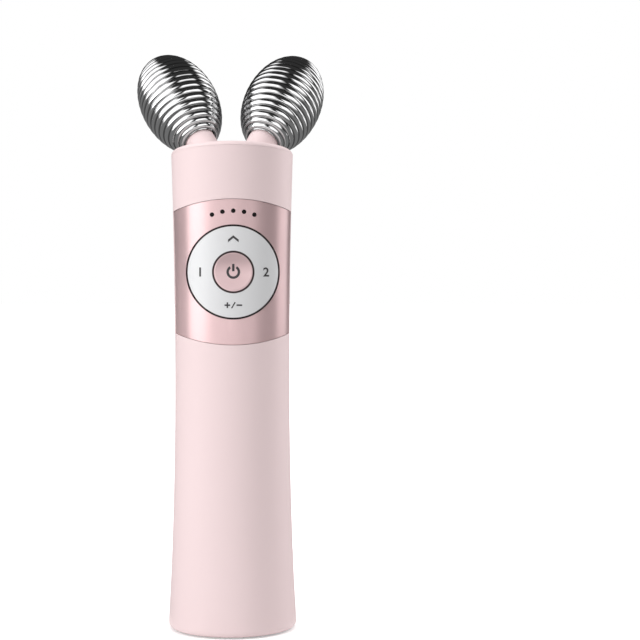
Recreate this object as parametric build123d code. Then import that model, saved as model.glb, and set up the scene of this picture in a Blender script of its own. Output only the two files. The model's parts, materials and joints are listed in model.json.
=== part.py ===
from build123d import *
import os
from math import acos, cos, degrees, radians, sin, sqrt, tan

# Facial toning device: a waisted hand-held body with a wrap-round control panel on the front
# and two ribbed rollers on slanted necks at the head.
# Millimetres. +Z up, +X to the right of the control face, +Y to the back.
# The origin is the centre of the base, on the floor. A depth is a distance in front of the
# body's axis, so a depth of 12 is at y = -12.

# ---------------------------------------------------------------- driving dimensions

# heights, each one counted up from the one before
low_screw_height = 26.0
battery_above_screw = 6.4
battery_length = 50.0
screw_above_battery = 7.6
board_above_screw = 8.5      # lower edge of the main board
control_above_edge = 22.6    # centre of the rocker ring, over the board's lower edge
edge_above_control = 24.4    # upper edge of the main board
screw_above_board = 4.0
head_above_screw = 12.2      # middle of the slanted top
roller_above_head = 18.1     # centres of the rollers

# housing
base_radius = 21.75          # at the floor
waist_radius = 19.35         # slimmest section
top_radius = 20.6            # at the head
waist_height = 88.0
head_slope = 7.3             # degrees, the front stands higher
wall = 2.4                   # shell wall
base_fillet = 2.0
parting_gap = 0.1            # between the two shells
lip_height = 1.2             # the front shell's lip reaches this far into the rear shell
fit_gap = 0.15               # between fixed pieces
floor_gap = 0.4              # the foot pad stands this far below the shells

# head cap and necks
cap_band = 1.6               # visible height of the cap over the shells
cap_fillet = 1.4
cap_gap = 0.05               # between the cap and the shells
cap_plate = 2.6
skirt_depth = 4.6
skirt_wall = 1.8
bead_height = 1.2
bead_depth = 0.7
neck_radius = 5.15
neck_fillet = 0.9
neck_boss_radius = 4.0

# rollers: an ellipsoid turned about its axle
roller_half_length = 22.0
roller_radius = 13.4
roller_wall = 1.1
roller_x = 18.05             # centre of the right roller
roller_y = 21.0
lean_back = 40.9             # degrees
splay = 21.8                 # degrees outwards, each
mouth_distance = 19.7        # from the roller's centre to its open end
mouth_gap = 0.45             # round the neck
rib_count = 19
rib_pitch = 7.0              # degrees of the ellipse's own angle
rib_depth = 0.5
split_rib = 10               # the two halves of a roller meet in this valley, counted from the tip
split_gap = 0.04

# roller bearings, measured along the axle from the roller's centre
axle_radius = 1.5
axle_inner_end = -36.0
axle_overhang = 1.1          # past the clip
neck_end = -16.6
neck_boss_end = -33.0
washer_radius = 3.6
washer_thickness = 0.8
washer_play = 0.4            # of the washer between the neck and the hub
bush_wall = 1.2
bush_length = 6.0
outer_bush_end = 10.0
running_gap = 0.03
press_gap = 0.03
hub_wall = 1.1
hub_overhang = 1.8           # past the axle's end
web_distance = 9.0
web_thickness = 2.0
clip_gap = 0.3
clip_thickness = 0.8
clip_height = 1.1            # over the axle
clip_groove_depth = 0.4
clip_room = 0.7              # round the clip
clip_slot = 1.6

# control panel
panel_half_height = 23.95
panel_edge_radius = 55.0
panel_thickness = 1.0
panel_sink = 0.3             # below the housing's surface
panel_seat_gap = 0.05
shell_window_step = 0.35     # wider than the panel's window

# rocker ring and its gimbal; a sink is counted back from the housing's surface
ring_radius = 15.1
ring_gap = 0.45              # round the ring and round the power button
ring_thickness = 1.6
ring_sink = 0.05
pivot_sink = 6.3
rocker_angle = 1.7           # degrees each way
gimbal_width = 1.6
gimbal_thickness = 1.6
pivot_pin_radius = 0.6
pivot_pin_gap = 0.06
pivot_pin_setback = 0.4      # behind the outer face of an ear
pivot_ear_gap = 0.6          # between the gimbal and the ears that hold its pins
pivot_ear_thickness = 1.7
pivot_ear_width = 3.2
pivot_ear_margin = 0.4       # of material round a pin's hole
plunger_gap = 0.2            # between an ear and a plunger
plunger_width = 2.4

# power button
button_radius = 6.45
button_flange_step = 0.4     # wider than the ring's bore
button_flange_sink = 4.5
button_flange_thickness = 0.7
button_stem_radius = 4.0
button_travel = 0.5
dish_rim_radius = 6.0
dish_side_radius = 60.0      # hollow of the dish from side to side

# keypad
switch_width = 3.0
switch_height = 1.3
switch_stem_radius = 0.9
switch_stem_height = 0.4
membrane_gap = 0.1
membrane_thickness = 0.3
membrane_edge_gap = 0.2      # from the keypad frame's feet
press_stop_gap = 0.15        # left between a key's tip and the membrane when it is fully pressed
frame_thickness = 0.8
frame_rim = 0.5              # outside the ears
frame_bar_width = 8.6
frame_foot_radius = 1.9
frame_foot_inset = 2.4
frame_screw_gap = 1.1        # between a plunger and a screw's head
switch_window_gap = 0.25
guide_gap = 0.1
guide_wall = 0.9
guide_height = 2.2

# main board
board_sink = 11.0            # of its front face
board_thickness = 1.6
board_side_gap = 1.1         # from the shell
board_corner_inset = 2.4
chip_width = 6.0
chip_thickness = 1.0
chip_spacing = 13.0
chip_offset = 8.5
transformer_width = 9.0
transformer_height = 10.0
transformer_depth = 7.0
transformer_limb = 1.7
winding_gap = 0.2

# indicator lights
indicator_count = 5
indicator_inset = 4.55       # from the ring's window
indicator_step = 10.15       # degrees
indicator_radius = 0.7
indicator_gap = 0.05
guide_bar_gap = 0.3          # above the keypad frame
guide_bar_margin = 1.6       # above the middle light
guide_bar_end = 0.8          # beyond the outer lights
guide_bar_thickness = 2.0
led_width = 1.6
led_height = 0.8
led_thickness = 0.7
led_gap = 0.3

# chassis and battery
standoff_length = 2.2
standoff_radius = 1.7
chassis_thickness = 1.6
chassis_overhang = 0.5       # beyond each side of the main board
chassis_window_width = 19.0
chassis_window_margin = 0.9  # from a standoff
battery_radius = 7.1
battery_y = 2.0
tab_thickness = 0.3
tab_width = 5.0
tab_reach = 8.0
tray_gap = 0.3
tray_end_gap = 0.6           # beyond each battery strip
tray_wall = 1.8
tray_end_wall = 1.5
tray_opening_depth = 1.0
cradle_thickness = 2.0
cradle_inset = 8.0           # from each end of the battery

# charging board and socket
charge_board_top = 11.2
charge_board_thickness = 1.0
charge_board_width = 17.0
charge_board_length = 15.2
charge_board_inset = 5.55    # from the housing's foot
charge_screw_side = 1.85     # from the board's side
charge_screw_inset = 5.7     # from the board's back edge
socket_width = 8.94
socket_height = 3.26
socket_length = 7.4
socket_wall = 0.3
socket_back_wall = 1.2
socket_corner = 1.25
socket_sink = 0.25
tongue_width = 6.6
tongue_thickness = 0.7
tongue_setback = 0.8
shelf_height = 2.6
shelf_width = 4.0
shelf_length = 7.0

# leads and contact leaves
lead_radius = 0.5
lead_gap = 0.05
lead_bend = 2.4
lead_landing = 3.0           # of a lead's end above the main board's lower edge
battery_lead_x = 4.6
battery_lead_out = 5.0       # in front of the battery's strips
battery_lead_slack = 0.6
battery_lead_rise = 7.0
battery_lead_clearance = 1.0  # in front of the main board, just below its edge
battery_lead_approach = 4.0
charge_lead_x = 8.0
charge_lead_start_x = 6.0
charge_lead_start = 3.0      # behind the charging board's front edge
charge_lead_out = 5.0        # in front of that edge
charge_lead_bow = 12.0       # furthest from the middle
charge_lead_depth = 7.6      # where it bows out
charge_lead_rise = 13.0      # from the charging board to the bow
charge_lead_approach = 12.0  # below its end
leaf_width = 3.0
leaf_thickness = 0.3
leaf_foot = 5.0
leaf_reach = 8.6
leaf_gap = 0.05

# screws
post_radius = 2.8
screw_tube_radius = 3.3
case_screw_seat = 5.0        # of the head, behind the parting plane
case_screw_length = 13.0
screw_radius = 0.9
screw_head_radius = 1.9
screw_head_height = 1.3
screw_hole_gap = 0.2
screw_pilot_gap = 0.03
screw_margin = 0.6           # left over a base screw's tip
plug_thickness = 2.4
plug_gap = 0.05
base_plate_thickness = 3.2
base_screw_inset = 4.0       # from the foot pad's edge
base_boss_radius = 2.6
base_boss_gap = 0.1          # under the charging board
base_rib_width = 2.0
foot_pad_inset = 4.25        # from the housing's foot
foot_pad_thickness = 1.0
foot_pad_fillet = 0.3
small_screw_radius = 0.7
small_head_radius = 1.3
small_head_height = 0.6
small_screw_margin = 0.5     # left under a small screw's tip
charge_screw_length = 2.8

# ---------------------------------------------------------------- heights

battery_bottom = low_screw_height + battery_above_screw
battery_top = battery_bottom + battery_length
middle_screw_height = battery_top + screw_above_battery
board_bottom = middle_screw_height + board_above_screw
control_height = board_bottom + control_above_edge
board_top = control_height + edge_above_control
high_screw_height = board_top + screw_above_board
head_height = high_screw_height + head_above_screw
roller_z = head_height + roller_above_head
case_screw_heights = (low_screw_height, middle_screw_height, high_screw_height)


# ---------------------------------------------------------------- outline

def wall_radius(height):
    """Outer radius of the body at a height."""
    if height < waist_height:
        return waist_radius + (base_radius - waist_radius) * (1 - height / waist_height) ** 2
    rise = (height - waist_height) / (head_height - waist_height)
    return waist_radius + (top_radius - waist_radius) * rise ** 2


def wall_slope(height):
    """Change of the body's radius per unit of height, taken upwards from that height."""
    if height < waist_height:
        return -2 * (base_radius - waist_radius) * (1 - height / waist_height) / waist_height
    rise = (height - waist_height) / (head_height - waist_height)
    return 2 * (top_radius - waist_radius) * rise / (head_height - waist_height)


# ---------------------------------------------------------------- derived values

# housing and cap
far = 2 * head_height                       # longer than the body
form_top = head_height + top_radius * tan(radians(head_slope)) + cap_band
skirt_low = head_height - cap_band - skirt_depth
base_plate_low = floor_gap
base_plate_top = base_plate_low + base_plate_thickness
pad_seat = foot_pad_thickness + fit_gap / 3
foot_pad_radius = base_radius - foot_pad_inset
base_screw_offset = foot_pad_radius - base_screw_inset
base_screw_seat = pad_seat + screw_head_height + fit_gap

# rings of the control face, from the button outwards
ring_bore_radius = button_radius + ring_gap
button_flange_radius = ring_bore_radius + button_flange_step
gimbal_outer_radius = button_flange_radius
gimbal_inner_radius = gimbal_outer_radius - gimbal_width
pivot_pin_length = pivot_ear_gap + pivot_ear_thickness - pivot_pin_setback
ear_start = gimbal_outer_radius + pivot_ear_gap
ear_end = ear_start + pivot_ear_thickness
ear_half_depth = pivot_pin_radius + pivot_pin_gap + pivot_ear_margin
frame_radius = ear_end + frame_rim
plunger_offset = ear_end + plunger_gap + plunger_width / 2
frame_screw_offset = plunger_offset + plunger_width / 2 + frame_screw_gap + small_head_radius
frame_bar_height = 2 * (frame_screw_offset + frame_foot_inset)
membrane_width = 2 * (frame_screw_offset - frame_foot_radius - membrane_edge_gap)
panel_window_radius = ring_radius + ring_gap
shell_window_radius = panel_window_radius + shell_window_step
indicator_circle = panel_window_radius + indicator_inset
indicator_reach = indicator_circle * sin(radians(indicator_step * (indicator_count - 1) / 2))
guide_bar_low = control_height + frame_bar_height / 2 + guide_bar_gap
guide_bar_high = control_height + indicator_circle + guide_bar_margin
guide_bar_width = 2 * (indicator_reach + indicator_radius + guide_bar_end)

# depths behind the control face
face_depth = wall_radius(control_height)
pivot_depth = face_depth - pivot_sink
button_flange_depth = face_depth - button_flange_sink
board_depth = face_depth - board_sink
board_back_depth = board_depth - board_thickness
chassis_depth = board_back_depth - standoff_length
switch_tip_depth = board_depth + switch_height + switch_stem_height
membrane_depth = switch_tip_depth + membrane_gap
membrane_front_depth = membrane_depth + membrane_thickness
frame_depth = membrane_front_depth + fit_gap
frame_front_depth = frame_depth + frame_thickness
key_stop_depth = membrane_front_depth + press_stop_gap
plunger_drop = (plunger_offset + plunger_width / 2) * sin(radians(rocker_angle))
plunger_tip_depth = key_stop_depth + 1.1 * plunger_drop
button_tip_depth = key_stop_depth + button_travel
guide_bar_depth = board_depth + led_thickness + led_gap
small_screw_tip_depth = chassis_depth + small_screw_margin

# boards, chassis and battery
board_width = 2 * (sqrt((waist_radius - wall) ** 2 - board_depth ** 2) - board_side_gap)
chassis_width = board_width + 2 * chassis_overhang
chassis_top = high_screw_height
chassis_window_height = 2 * (frame_screw_offset - standoff_radius - chassis_window_margin)
tray_radius = battery_radius + tray_gap
tray_outer_radius = tray_radius + tray_wall
tray_low = battery_bottom - tab_thickness - tray_end_gap
tray_high = battery_top + tab_thickness + tray_end_gap
charge_board_low = charge_board_top - charge_board_thickness
charge_board_back = base_radius - charge_board_inset
charge_board_front = charge_board_back - charge_board_length
charge_screw_x = charge_board_width / 2 - charge_screw_side
charge_screw_y = charge_board_back - charge_screw_inset
socket_middle = charge_board_top + socket_height / 2
base_boss_top = charge_board_low - base_boss_gap
base_screw_length = base_boss_top - base_screw_seat - screw_margin

# rollers and bearings
mouth_angle = degrees(acos(-mouth_distance / roller_half_length))
rib_start = mouth_angle - rib_count * rib_pitch
mouth_radius = neck_radius + mouth_gap
hub_start = neck_end + washer_thickness + washer_play
bush_radius = axle_radius + bush_wall
clip_start = outer_bush_end + clip_gap
axle_outer_end = clip_start + clip_thickness + axle_overhang
clip_radius = axle_radius + clip_height
clip_groove_radius = axle_radius - clip_groove_depth
clip_room_radius = clip_radius + clip_room
hub_end = axle_outer_end + hub_overhang
hub_radius = clip_room_radius + hub_wall


# ---------------------------------------------------------------- helpers

def body_form(inset, low, high):
    """Solid of revolution of the body's outline, drawn in by inset, between two heights."""
    def point(height):
        return (wall_radius(height) - inset, 0, height)

    heights = [low, high]
    if low < waist_height < high:
        heights = [low, waist_height, high]
    edges = [Line((0, 0, low), point(low))]
    for start, end in zip(heights, heights[1:]):
        half = (end - start) / 2
        bend = (wall_radius(start) - inset + wall_slope(start) * half, 0, start + half)
        edges.append(Bezier(point(start), bend, point(end)))
    edges.append(Line(point(high), (0, 0, high)))
    edges.append(Line((0, 0, high), (0, 0, low)))
    return revolve(make_face(edges), Axis.Z)


def block(x0, x1, y0, y1, z0, z1):
    """Box between two corners."""
    centre = Pos((x0 + x1) / 2, (y0 + y1) / 2, (z0 + z1) / 2)
    return centre * Box(abs(x1 - x0), abs(y1 - y0), abs(z1 - z0))


def rod(radius, start, end):
    """Cylinder along the local Z."""
    return Pos(0, 0, start) * Cylinder(radius, end - start, align=(Align.CENTER, Align.CENTER, Align.MIN))


def upright(radius, low, high, x=0.0, y=0.0):
    """Cylinder along Z between two heights."""
    return Pos(x, y, 0) * rod(radius, low, high)


def front_rod(radius, depth0, depth1, x=0.0, z=control_height):
    """Cylinder along Y between two depths."""
    return Pos(x, 0, z) * Rot(90, 0, 0) * rod(radius, depth0, depth1)


def front_block(width, height, depth0, depth1, x=0.0, z=control_height):
    """Box centred on x and z between two depths."""
    return block(x - width / 2, x + width / 2, -depth1, -depth0, z - height / 2, z + height / 2)


def above_top(offset):
    """Everything above the slanted top plane, moved by offset along its normal."""
    slab = Box(far, far, far, align=(Align.CENTER, Align.CENTER, Align.MIN))
    return Pos(0, 0, head_height) * Rot(-head_slope, 0, 0) * Pos(0, 0, offset) * slab


def single(shape):
    """The one solid of a shape."""
    solids = shape.solids()
    assert len(solids) == 1, f"{len(solids)} solids where one was meant"
    return solids[0]


def group(shapes):
    """Separate solids of one node."""
    return Compound([single(shape) for shape in shapes])


def panel_lens(grow):
    """Front outline of the control panel, pushed along Y: the overlap of two large discs."""
    drop = panel_edge_radius - panel_half_height
    upper = front_rod(panel_edge_radius + grow, 0, far, z=control_height - drop)
    lower = front_rod(panel_edge_radius + grow, 0, far, z=control_height + drop)
    return upper & lower


def indicator_places():
    """X and Z of each indicator window."""
    middle = (indicator_count - 1) / 2
    places = []
    for index in range(indicator_count):
        turn = radians((index - middle) * indicator_step)
        places.append((indicator_circle * sin(turn), control_height + indicator_circle * cos(turn)))
    return places


def side_places():
    """X and Z of the ring's four pressing points."""
    return [
        (0.0, control_height + plunger_offset),
        (0.0, control_height - plunger_offset),
        (plunger_offset, control_height),
        (-plunger_offset, control_height),
    ]


def frame_screw_places():
    """X and Z of the screws through the keypad frame's feet."""
    return [(0.0, control_height + frame_screw_offset), (0.0, control_height - frame_screw_offset)]


def corner_screw_places():
    """X and Z of the screws in the main board's lower corners."""
    side = board_width / 2 - board_corner_inset
    low = board_bottom + board_corner_inset
    return [(side, low), (-side, low)]


def roller_plane(side):
    """Plane whose Z runs outwards along one roller's axle; side is 1 on the right, -1 on the left."""
    upward = cos(radians(splay))
    direction = (
        side * sin(radians(splay)),
        upward * sin(radians(lean_back)),
        upward * cos(radians(lean_back)),
    )
    return Plane(origin=(side * roller_x, roller_y, roller_z), x_dir=(0, 1, 0), z_dir=direction)


def on_axle(side, shape):
    """Moves a shape from the origin onto one roller's axle."""
    return roller_plane(side).location * shape


# ---------------------------------------------------------------- housing

def shell_half(y0, y1):
    """The tube with its rounded foot, between two parting planes."""
    tube = body_form(0, floor_gap, form_top)
    tube = fillet(tube.edges().group_by(Axis.Z)[0], base_fillet)
    tube = tube - body_form(wall, floor_gap - 1, form_top + 1)
    tube = tube - above_top(-cap_band)
    return tube & block(-far, far, y0, y1, -far, far)


def skirt_groove():
    """Ring cut in both shells for the head cap's bead."""
    low = skirt_low - fit_gap
    high = skirt_low + bead_height + fit_gap
    return body_form(wall - bead_depth - fit_gap, low, high) - body_form(wall + 1, low - 1, high + 1)


def lip(outer, inner, margin, reach):
    """Strip along the parting edges, from in front of the parting plane to reach behind it."""
    low = base_plate_top + fit_gap - margin
    high = skirt_low - 2 * fit_gap + margin
    strip = body_form(outer, low, high) - body_form(inner, low - 1, high + 1)
    return strip & block(-far, far, -lip_height, reach, -far, far)


def base_boss(y):
    """Screw boss at the foot of a shell, with the rib that ties it to the wall."""
    low = base_plate_top + fit_gap
    outer = base_radius if y > 0 else -base_radius
    boss = upright(base_boss_radius, low, base_boss_top, 0, y)
    boss = boss + block(-base_rib_width / 2, base_rib_width / 2, y, outer, low, base_boss_top)
    boss = boss & body_form(wall / 2, low, base_boss_top)
    return boss


def base_boss_hole(y):
    """Pilot hole of a base screw."""
    return upright(screw_radius + screw_pilot_gap, base_plate_top, base_boss_top + 1, 0, y)


def case_post(radius, height, depth0, depth1):
    """Screw post or tube along Y, trimmed to the middle of the shell's wall."""
    post = front_rod(radius, depth0, depth1, z=height)
    return post & body_form(wall / 2, height - 2 * radius, height + 2 * radius)


def panel_seat():
    """Shallow recess for the control panel."""
    low = control_height - panel_half_height - wall
    high = control_height + panel_half_height + wall
    floor = panel_sink + panel_thickness + panel_seat_gap
    seat = body_form(-wall, low, high) - body_form(floor, low - 1, high + 1)
    return seat & panel_lens(fit_gap)


def make_front_shell():
    """Front half of the tube, with the panel's seat, the window and the screw posts."""
    shell = shell_half(-far, -parting_gap / 2)
    shell = shell + lip(wall / 2 + 2 * fit_gap, wall, 0, lip_height)
    pilot = screw_radius + screw_pilot_gap
    pilot_depth = case_screw_length - case_screw_seat + 1
    for height in case_screw_heights:
        shell = shell + case_post(post_radius, height, parting_gap / 2, base_radius)
        shell = shell - front_rod(pilot, -1, pilot_depth, z=height)
    shell = shell + base_boss(-base_screw_offset)
    shell = shell - base_boss_hole(-base_screw_offset)
    shell = shell - skirt_groove()
    shell = shell - panel_seat()
    shell = shell - front_rod(shell_window_radius, board_depth / 2, far)
    for x, z in indicator_places():
        shell = shell - front_rod(indicator_radius + 2 * indicator_gap, board_depth, far, x, z)
    return single(shell)


def socket_bar(grow, y0, y1):
    """Bar along Y with the rounded section of the charging socket."""
    outline = RectangleRounded(
        socket_width + 2 * grow, socket_height + 2 * grow, socket_corner + grow
    )
    return Pos(0, y1, socket_middle) * Rot(90, 0, 0) * extrude(outline, y1 - y0)


def socket_mouth_y():
    """Y of the charging socket's open end."""
    return wall_radius(socket_middle) - socket_sink


def charge_shelf(side):
    """Ledge of the rear shell under one side of the charging board."""
    top = charge_board_low - fit_gap
    low = top - shelf_height
    inner = side * (charge_board_width / 2 - shelf_width)
    y0 = charge_screw_y - shelf_length / 2
    x0, x1 = sorted((inner, side * far))
    shelf = block(x0, x1, y0, y0 + shelf_length, low, top)
    return shelf & body_form(wall / 2, low, top)


def cradle_rib(height):
    """Rib of the rear shell with a round seat for the battery tray."""
    top = height + cradle_thickness
    rib = body_form(wall / 2, height, top) & block(-far, far, battery_y, far, height, top)
    return rib - upright(tray_outer_radius + fit_gap, height - 1, top + 1, 0, battery_y)


def make_rear_shell():
    """Rear half of the tube, with screw tubes, cradle ribs, board shelves and the socket's mouth."""
    shell = shell_half(parting_gap / 2, far)
    shell = shell - lip(wall / 2 + fit_gap, wall + 1, fit_gap, lip_height + fit_gap)
    shell = shell + cradle_rib(battery_bottom + cradle_inset)
    shell = shell + cradle_rib(battery_top - cradle_inset - cradle_thickness)
    hole = screw_radius + screw_hole_gap
    bore = screw_head_radius + screw_hole_gap
    for height in case_screw_heights:
        shell = shell + case_post(screw_tube_radius, height, -base_radius, -parting_gap / 2)
        shell = shell - front_rod(hole, -far, 1, z=height)
        shell = shell - front_rod(bore, -far, -case_screw_seat, z=height)
    shell = shell + base_boss(base_screw_offset)
    shell = shell - base_boss_hole(base_screw_offset)
    for side in (1, -1):
        shell = shell + charge_shelf(side)
        x = side * charge_screw_x
        pilot = small_screw_radius + screw_pilot_gap
        shell = shell - upright(pilot, base_plate_top, charge_board_low, x, charge_screw_y)
    shell = shell - skirt_groove()
    shell = shell - socket_bar(fit_gap, charge_board_back, far)
    return single(shell)


def on_top_plane(edge):
    """True where an edge lies in the slanted top plane."""
    normal = Vector(0, sin(radians(head_slope)), cos(radians(head_slope)))
    origin = Vector(0, 0, head_height)
    places = [edge @ 0.0, edge @ 0.3, edge @ 0.7, edge @ 1.0]
    return all(abs((place - origin).dot(normal)) < 0.01 for place in places)


def near_axle(edge, side):
    """True where an edge runs round one neck."""
    place = roller_plane(side).to_local_coords(edge @ 0.3)
    return sqrt(place.X ** 2 + place.Y ** 2) < 2 * neck_radius


def make_head_cap():
    """Slanted top with the two necks, and the skirt and bead that the shells hold."""
    cap = body_form(0, skirt_low, form_top) - above_top(0)
    cap = fillet([edge for edge in cap.edges() if on_top_plane(edge)], cap_fillet)
    cap = cap & above_top(cap_gap - cap_band)
    skirt = body_form(wall + fit_gap, skirt_low, form_top) - above_top(-cap_band / 2)
    cap = cap + skirt
    cap = cap + body_form(wall - bead_depth, skirt_low, skirt_low + bead_height)
    inside = body_form(wall + fit_gap + skirt_wall, skirt_low - 1, form_top) - above_top(-cap_plate)
    cap = cap - inside
    for side in (1, -1):
        neck = on_axle(side, rod(neck_radius, neck_boss_end, neck_end))
        cap = cap + (neck & above_top(-cap_plate / 2))
        edges = [edge for edge in cap.edges() if on_top_plane(edge) and near_axle(edge, side)]
        cap = fillet(edges, neck_fillet)
    for side in (1, -1):
        cap = cap + on_axle(side, rod(neck_boss_radius, neck_boss_end, (neck_end + neck_boss_end) / 2))
        bore = rod(axle_radius + press_gap, neck_boss_end - 1, neck_end + 1)
        cap = cap - on_axle(side, bore)
    return single(cap)


def make_base_cap():
    """Round plate that closes the foot of the shells."""
    plate = body_form(wall + fit_gap, base_plate_low, base_plate_top)
    plate = plate - upright(foot_pad_radius + fit_gap, -1, pad_seat)
    for y in (base_screw_offset, -base_screw_offset):
        plate = plate - upright(screw_radius + screw_hole_gap, 0, far, 0, y)
        plate = plate - upright(screw_head_radius + screw_hole_gap, 0, base_screw_seat, 0, y)
    return single(plate)


def make_foot_pad():
    """Soft disc that the device stands on and that hides the base screws."""
    pad = upright(foot_pad_radius, 0, foot_pad_thickness)
    return single(fillet(pad.edges().group_by(Axis.Z)[0], foot_pad_fillet))


# ---------------------------------------------------------------- control panel and keys

def make_control_panel():
    """Curved plate round the front, with the ring's window and the indicator holes."""
    low = control_height - panel_half_height - wall
    high = control_height + panel_half_height + wall
    plate = body_form(panel_sink, low, high)
    plate = plate - body_form(panel_sink + panel_thickness, low - 1, high + 1)
    plate = plate & panel_lens(0)
    plate = plate & block(-far, far, -far, -parting_gap, low, high)
    plate = plate - front_rod(panel_window_radius, 0, far)
    for x, z in indicator_places():
        plate = plate - front_rod(indicator_radius + indicator_gap, 0, far, x, z)
    return single(plate)


def ring_form(inset):
    """Solid of the body's outline round the rocker ring."""
    reach = ring_radius + wall
    return body_form(inset, control_height - reach, control_height + reach)


def make_rocker_ring():
    """Four-way ring that follows the body, with ears for the gimbal and a plunger on each side."""
    under = ring_form(ring_sink + ring_thickness)
    backing = ring_form(ring_sink + ring_thickness / 2)
    ring = ring_form(ring_sink) - under
    ring = ring & (front_rod(ring_radius, 0, far) - front_rod(ring_bore_radius, 0, far))
    for x, z in side_places():
        plunger = front_block(plunger_width, plunger_width, plunger_tip_depth, far, x, z)
        ring = ring + (plunger & backing)
    for side in (1, -1):
        z = control_height + side * (ear_start + pivot_ear_thickness / 2)
        depth0 = pivot_depth - ear_half_depth
        ear = front_block(pivot_ear_width, pivot_ear_thickness, depth0, far, 0, z)
        ring = ring + (ear & backing)
    pin_hole = upright(pivot_pin_radius + pivot_pin_gap, control_height - far, control_height + far)
    keep = block(-far, far, -far, far, control_height - ear_start - pivot_ear_thickness - fit_gap,
                 control_height + ear_start + pivot_ear_thickness + fit_gap)
    ring = ring - (Pos(0, -pivot_depth, 0) * pin_hole & keep)
    return single(ring)


def make_rocker_gimbal():
    """Small ring with two pins for the frame's ears and two for the rocker ring's ears."""
    half = gimbal_thickness / 2
    gimbal = front_rod(gimbal_outer_radius, pivot_depth - half, pivot_depth + half)
    length = 2 * (gimbal_outer_radius + pivot_pin_length)
    gimbal = gimbal + Pos(0, -pivot_depth, control_height) * Cylinder(pivot_pin_radius, length)
    cross = Rot(0, 90, 0) * Cylinder(pivot_pin_radius, length)
    gimbal = gimbal + Pos(0, -pivot_depth, control_height) * cross
    gimbal = gimbal - front_rod(gimbal_inner_radius, pivot_depth - gimbal_thickness, far)
    return single(gimbal)


def make_power_button():
    """Dished button with a flange behind the rocker ring and a stem to the middle switch."""
    flange_top = button_flange_depth + button_flange_thickness
    button = front_rod(button_radius, flange_top, far) & ring_form(ring_sink)
    button = button + front_rod(button_flange_radius, button_flange_depth, flange_top)
    button = button + front_rod(button_stem_radius, button_tip_depth, flange_top)
    face = face_depth - ring_sink
    dish_depth = dish_rim_radius ** 2 * (1 / face + 1 / dish_side_radius) / 2
    dish_upright_radius = dish_rim_radius ** 2 / dish_depth / 2
    dish = Torus(dish_side_radius - dish_upright_radius, dish_upright_radius)
    return single(button - Pos(0, dish_depth - face - dish_side_radius, control_height) * dish)


def make_keypad_frame():
    """Plate over the membrane, with feet on the main board, ears for the gimbal and the stem's guide."""
    frame = front_rod(frame_radius, frame_depth, frame_front_depth)
    frame = frame + front_block(frame_bar_width, frame_bar_height, frame_depth, frame_front_depth)
    for x, z in frame_screw_places():
        frame = frame + front_rod(frame_foot_radius, board_depth, frame_depth, x, z)
    guide_radius = button_stem_radius + guide_gap
    guide_top = frame_front_depth + guide_height
    frame = frame + front_rod(guide_radius + guide_wall, frame_depth, guide_top)
    frame = frame - front_rod(guide_radius, board_depth, far)
    for side in (1, -1):
        x = side * (ear_start + pivot_ear_thickness / 2)
        top = pivot_depth + ear_half_depth
        frame = frame + front_block(pivot_ear_thickness, pivot_ear_width, frame_depth, top, x)
    pin_hole = Rot(0, 90, 0) * Cylinder(pivot_pin_radius + pivot_pin_gap, far)
    frame = frame - Pos(0, -pivot_depth, control_height) * pin_hole
    opening = plunger_width + 2 * switch_window_gap
    for x, z in side_places():
        frame = frame - front_block(opening, opening, frame_depth - 1, frame_front_depth + 1, x, z)
    for x, z in frame_screw_places():
        frame = frame - front_rod(small_screw_radius + fit_gap, 0, far, x, z)
    return single(frame)


def make_keypad_membrane():
    """Silicone sheet between the keys and the switches."""
    sheet = front_block(membrane_width, membrane_width, membrane_depth, membrane_front_depth)
    return single(sheet)


# ---------------------------------------------------------------- main board

def make_main_board():
    """Printed board with its four screw holes."""
    middle = (board_bottom + board_top) / 2
    board = front_block(board_width, board_top - board_bottom, board_back_depth, board_depth, 0, middle)
    for x, z in frame_screw_places() + corner_screw_places():
        board = board - front_rod(small_screw_radius + fit_gap, 0, far, x, z)
    return single(board)


def make_tact_switches():
    """Five switches: under the power button and under the ring's four sides."""
    switches = []
    body_top = board_depth + switch_height
    for x, z in [(0.0, control_height)] + side_places():
        switch = front_block(switch_width, switch_width, board_depth, body_top, x, z)
        switches.append(switch + front_rod(switch_stem_radius, body_top, switch_tip_depth, x, z))
    return group(switches)


def make_indicator_leds():
    """A small LED behind each indicator window."""
    top = board_depth + led_thickness
    return group([front_block(led_width, led_height, board_depth, top, x, z) for x, z in indicator_places()])


def make_light_guide():
    """Bar with a round light pipe to each indicator hole."""
    bar_front = guide_bar_depth + guide_bar_thickness
    middle = (guide_bar_low + guide_bar_high) / 2
    height = guide_bar_high - guide_bar_low
    guide = front_block(guide_bar_width, height, guide_bar_depth, bar_front, 0, middle)
    low = control_height
    high = control_height + panel_half_height
    face = body_form(panel_sink, low, high)
    for x, z in indicator_places():
        guide = guide + (front_rod(indicator_radius, guide_bar_depth, far, x, z) & face)
    return single(guide)


def make_board_chips():
    """Three chips on the back of the main board."""
    chips = []
    for index in (-1, 0, 1):
        z = control_height + index * chip_spacing
        depth0 = board_back_depth - chip_thickness
        chips.append(front_block(chip_width, chip_width, depth0, board_back_depth, -chip_offset, z))
    return group(chips)


def make_transformer_core():
    """Ferrite frame of the pulse transformer."""
    depth0 = board_back_depth - transformer_depth
    core = front_block(transformer_width, transformer_height, depth0, board_back_depth)
    inner_width = transformer_width - 2 * transformer_limb
    inner_height = transformer_height - 2 * transformer_limb
    window = front_block(inner_width, inner_height, depth0 - 1, board_back_depth + 1)
    limb = front_block(transformer_limb, transformer_height, depth0, board_back_depth)
    return single(core - window + limb)


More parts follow.
